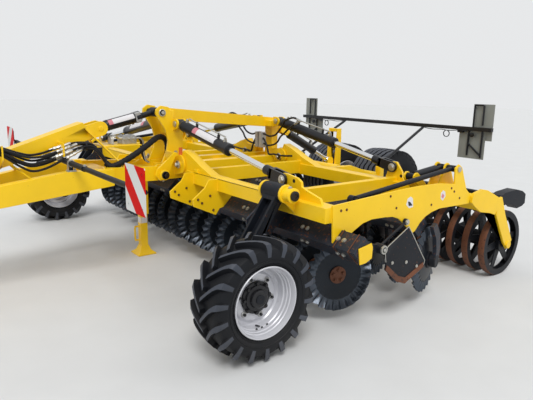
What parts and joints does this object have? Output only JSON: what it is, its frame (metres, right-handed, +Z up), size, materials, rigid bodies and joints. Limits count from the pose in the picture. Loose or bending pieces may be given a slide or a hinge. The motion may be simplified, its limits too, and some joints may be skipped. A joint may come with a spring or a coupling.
{
  "type": "trailed short disc harrow with folding wings",
  "caption": "Yellow trailed disc harrow with two folding wings, gauge wheels, ring rollers, a transport axle and warning boards, standing unfolded on its jack.",
  "frame": {"origin": "on the ground below the middle of the machine's box, in its middle plane", "axes": "+X forward to the hitch, +Y to the machine's left, +Z up"},
  "size_m": [6.2823, 4.7966, 1.485],
  "materials": {
    "black_rubber": "matte",
    "chrome_rod": "polished",
    "dark_steel": "satin",
    "grey_board": "matte",
    "rusty_steel": "matte",
    "silver_rim": "satin",
    "tyre_rubber": "matte",
    "white_board": "gloss",
    "yellow_paint": "gloss"
  },
  "bodies": {
    "frame": {"centre_frame": "yellow_paint", "tower": "yellow_paint"},
    "jack": {"jack": "yellow_paint"},
    "drawbar": {"drawbar": "yellow_paint", "hitch_eye": "dark_steel", "sign_bar": "dark_steel", "sign_boards": "white_board", "hose_bundle": "black_rubber", "valve_block": "grey_board"},
    "top_link_barrel": {"top_link_barrel": "dark_steel"},
    "top_link_rod": {"top_link_rod": "chrome_rod"},
    "transport_frame": {"transport_frame": "yellow_paint", "light_bar": "dark_steel", "light_boards": "grey_board"},
    "lift_barrel": {"lift_barrel": "dark_steel"},
    "lift_rod": {"lift_rod": "chrome_rod"},
    "wing_left": {"wing_frame_left": "yellow_paint", "disc_beams_left": "dark_steel", "discs_left": "dark_steel", "gauge_arm_left": "dark_steel", "roller_frame_left": "yellow_paint", "scraper_bar_left": "dark_steel", "depth_links_left": "dark_steel", "deflector_left": "dark_steel"},
    "gauge_wheel_left": {"gauge_tyre_left": "tyre_rubber", "gauge_rim_left": "silver_rim"},
    "roller_left": {"roller_left": "rusty_steel"},
    "transport_wheel_left": {"transport_tyre_left": "tyre_rubber", "transport_rim_left": "silver_rim"},
    "fold_barrels_left": {"fold_barrels_left": "dark_steel"},
    "fold_rods_left": {"fold_rods_left": "chrome_rod"},
    "wing_right": {"wing_frame_right": "yellow_paint", "disc_beams_right": "dark_steel", "discs_right": "dark_steel", "gauge_arm_right": "dark_steel", "roller_frame_right": "yellow_paint", "scraper_bar_right": "dark_steel", "depth_links_right": "dark_steel", "deflector_right": "dark_steel"},
    "gauge_wheel_right": {"gauge_tyre_right": "tyre_rubber", "gauge_rim_right": "silver_rim"},
    "roller_right": {"roller_right": "rusty_steel"},
    "transport_wheel_right": {"transport_tyre_right": "tyre_rubber", "transport_rim_right": "silver_rim"},
    "fold_barrels_right": {"fold_barrels_right": "dark_steel"},
    "fold_rods_right": {"fold_rods_right": "chrome_rod"}
  },
  "joints": [
    {"name": "jack_stroke", "type": "slide", "parent": "frame", "child": "jack", "axis": [0, 0, 1], "range_m": [0, 0.23]},
    {"name": "drawbar_tilt", "type": "hinge", "parent": "frame", "child": "drawbar", "pos_m": [0.16625, 0, 0.86], "axis": [0, -1, 0], "range_deg": [-8, 10]},
    {"name": "top_link_turn", "type": "hinge", "parent": "drawbar", "child": "top_link_barrel", "pos_m": [0.59625, 0, 1.25], "axis": [0, -1, 0], "range_deg": [-4.5, 3.8]},
    {"name": "top_link_stroke", "type": "slide", "parent": "top_link_barrel", "child": "top_link_rod", "axis": [-0.9712, 0, 0.2382], "range_m": [-0.09, 0.07]},
    {"name": "transport_lift", "type": "hinge", "parent": "frame", "child": "transport_frame", "pos_m": [-1.60375, 0, 0.8], "axis": [0, -1, 0], "range_deg": [0, 30]},
    {"name": "lift_turn", "type": "hinge", "parent": "frame", "child": "lift_barrel", "pos_m": [-1.47375, 0, 1.15], "axis": [0, -1, 0], "range_deg": [0, 19]},
    {"name": "lift_stroke", "type": "slide", "parent": "lift_barrel", "child": "lift_rod", "axis": [-0.8809, 0, -0.4733], "range_m": [0, 0.115]},
    {"name": "fold_left", "type": "hinge", "parent": "frame", "child": "wing_left", "pos_m": [-0.65875, 0.3, 0.93], "axis": [1, 0, 0], "range_deg": [0, 90]},
    {"name": "gauge_wheel_left", "type": "hinge", "parent": "wing_left", "child": "gauge_wheel_left", "pos_m": [0.41925, 2.06, 0.38], "axis": [0, 1, 0], "continuous": true},
    {"name": "roller_left", "type": "hinge", "parent": "wing_left", "child": "roller_left", "pos_m": [-2.23375, 1.5023, 0.295], "axis": [0, 1, 0], "continuous": true},
    {"name": "transport_wheel_left", "type": "hinge", "parent": "transport_frame", "child": "transport_wheel_left", "pos_m": [-2.70375, 0.395, 0.5], "axis": [0, 1, 0], "continuous": true},
    {"name": "fold_turn_left", "type": "hinge", "parent": "frame", "child": "fold_barrels_left", "pos_m": [-0.65875, 0.2, 1.28], "axis": [1, 0, 0], "range_deg": [0, 99.3]},
    {"name": "fold_stroke_left", "type": "slide", "parent": "fold_barrels_left", "child": "fold_rods_left", "axis": [0, 0.9831, -0.183], "range_m": [-0.481, 0]},
    {"name": "fold_right", "type": "hinge", "parent": "frame", "child": "wing_right", "pos_m": [-0.65875, -0.3, 0.93], "axis": [-1, 0, 0], "range_deg": [0, 90]},
    {"name": "gauge_wheel_right", "type": "hinge", "parent": "wing_right", "child": "gauge_wheel_right", "pos_m": [0.41925, -2.06, 0.38], "axis": [0, 1, 0], "continuous": true},
    {"name": "roller_right", "type": "hinge", "parent": "wing_right", "child": "roller_right", "pos_m": [-2.23375, -1.5023, 0.295], "axis": [0, 1, 0], "continuous": true},
    {"name": "transport_wheel_right", "type": "hinge", "parent": "transport_frame", "child": "transport_wheel_right", "pos_m": [-2.70375, -0.395, 0.5], "axis": [0, 1, 0], "continuous": true},
    {"name": "fold_turn_right", "type": "hinge", "parent": "frame", "child": "fold_barrels_right", "pos_m": [-0.65875, -0.2, 1.28], "axis": [-1, 0, 0], "range_deg": [0, 99.3]},
    {"name": "fold_stroke_right", "type": "slide", "parent": "fold_barrels_right", "child": "fold_rods_right", "axis": [0, -0.9831, -0.183], "range_m": [-0.481, 0]}
  ],
  "couplings": [
    {"joint": "top_link_turn", "follows": "drawbar_tilt", "ratio": -0.39909},
    {"joint": "top_link_stroke", "follows": "drawbar_tilt", "m_per_rad": -0.48418},
    {"joint": "lift_turn", "follows": "transport_lift", "ratio": 0.61801},
    {"joint": "lift_stroke", "follows": "transport_lift", "m_per_rad": 0.20956},
    {"joint": "fold_turn_left", "follows": "fold_left", "ratio": 1.098},
    {"joint": "fold_stroke_left", "follows": "fold_left", "m_per_rad": -0.30274},
    {"joint": "fold_turn_right", "follows": "fold_right", "ratio": 1.098},
    {"joint": "fold_stroke_right", "follows": "fold_right", "m_per_rad": -0.30274}
  ]
}
